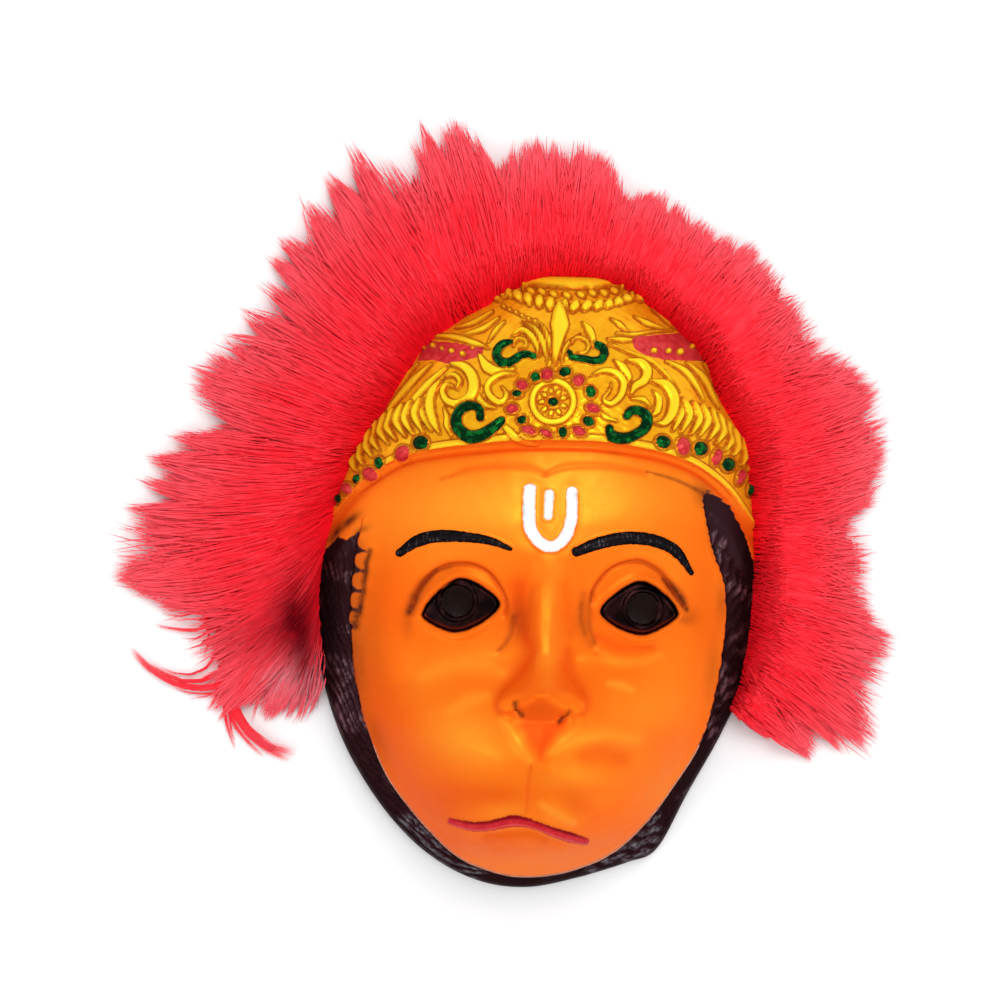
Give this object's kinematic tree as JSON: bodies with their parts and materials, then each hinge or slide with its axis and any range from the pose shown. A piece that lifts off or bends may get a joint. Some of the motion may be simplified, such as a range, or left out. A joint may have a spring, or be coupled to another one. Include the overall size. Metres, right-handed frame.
{
  "type": "festival mask",
  "caption": "Hollow moulded monkey-faced festival mask with a crown in relief, open eye holes, a beard fringe and a strip of long red faux fur along the crown's edge.",
  "frame": {"origin": "middle of the whole mask's box in plan, on the plane that its rim lies on", "axes": "+Z the way the face looks, up from the floor as the mask lies; +Y towards the crown; +X towards the viewer's right of the face"},
  "size_m": [0.3086, 0.309, 0.0919],
  "materials": {
    "shell": "thin moulded vinyl, brushed and sprayed in orange, gold, black, red and white paint with a soft gloss",
    "fur": "long-pile faux fur in bright red, paler at the tips"
  },
  "bodies": {
    "root": {"mask_shell": "shell", "fur_trim": "fur"}
  },
  "joints": []
}
